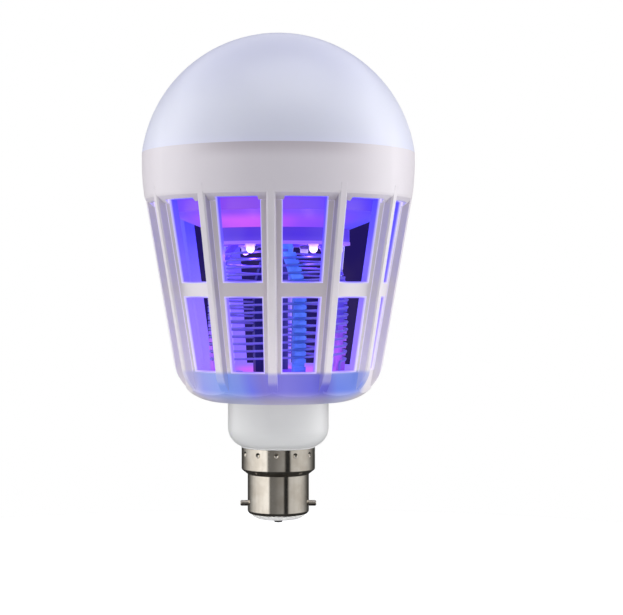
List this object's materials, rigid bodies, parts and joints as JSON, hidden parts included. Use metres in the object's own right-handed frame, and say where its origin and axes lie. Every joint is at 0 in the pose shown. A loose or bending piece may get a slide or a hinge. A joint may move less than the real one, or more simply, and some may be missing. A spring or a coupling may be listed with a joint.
{
  "type": "insect killer light bulb",
  "caption": "Bayonet-cap lamp with a frosted light dome over a slotted cage that holds a violet-lit insect grid.",
  "frame": {"origin": "on the lamp's axis at the height of the two bayonet pins", "axes": "+Z along the lamp's axis from the cap towards the dome, X along the bayonet pins, -Y towards the side that the picture shows"},
  "size_m": [0.0978, 0.0978, 0.1744],
  "materials": {
    "opal_polycarbonate": "satin opal",
    "white_abs": "moulded, semi-gloss",
    "grey_white_abs": "moulded, semi-gloss",
    "nickel_plated_brass": "nickel plated",
    "pin_brass": "nickel plated",
    "cap_insulation": "moulded",
    "solder_tin": "tinned",
    "lead_insulation": "pvc sleeve",
    "green_board": "solder mask",
    "capacitor_sleeve": "shrink sleeve",
    "ferrite": "matt",
    "black_epoxy": "moulded",
    "blue_epoxy": "dipped",
    "zinc_screw": "zinc plated",
    "comb_plastic": "moulded",
    "grid_steel": "drawn",
    "white_board": "white solder mask",
    "violet_lamp": "clear epoxy",
    "white_reflector": "moulded",
    "aluminium_plate": "rolled",
    "phosphor": "silicone"
  },
  "bodies": {
    "root": {"dome_diffuser": "opal_polycarbonate", "cage_housing": "white_abs", "neck_housing": "grey_white_abs", "cap_shell": "nickel_plated_brass", "bayonet_pin_left": "pin_brass", "bayonet_pin_right": "pin_brass", "cap_insulator": "cap_insulation", "contact_front": "solder_tin", "contact_rear": "solder_tin", "supply_leads": "lead_insulation", "driver_board": "green_board", "driver_capacitor": "capacitor_sleeve", "driver_transformer": "ferrite", "driver_bridge": "black_epoxy", "pulse_capacitors": "blue_epoxy", "grid_base": "white_abs", "grid_base_screws": "zinc_screw", "core_tube": "white_abs", "lamp_leads": "lead_insulation", "live_wire": "grid_steel", "neutral_wire": "grid_steel", "uv_board": "white_board", "uv_leds": "violet_lamp", "uv_board_screws": "zinc_screw", "reflector_cone": "white_reflector", "heat_plate": "aluminium_plate", "lamp_board": "white_board", "white_leds": "phosphor", "lamp_board_screws": "zinc_screw", "comb_post_1": "comb_plastic", "comb_post_2": "comb_plastic", "comb_post_3": "comb_plastic", "comb_post_4": "comb_plastic"}
  },
  "joints": []
}
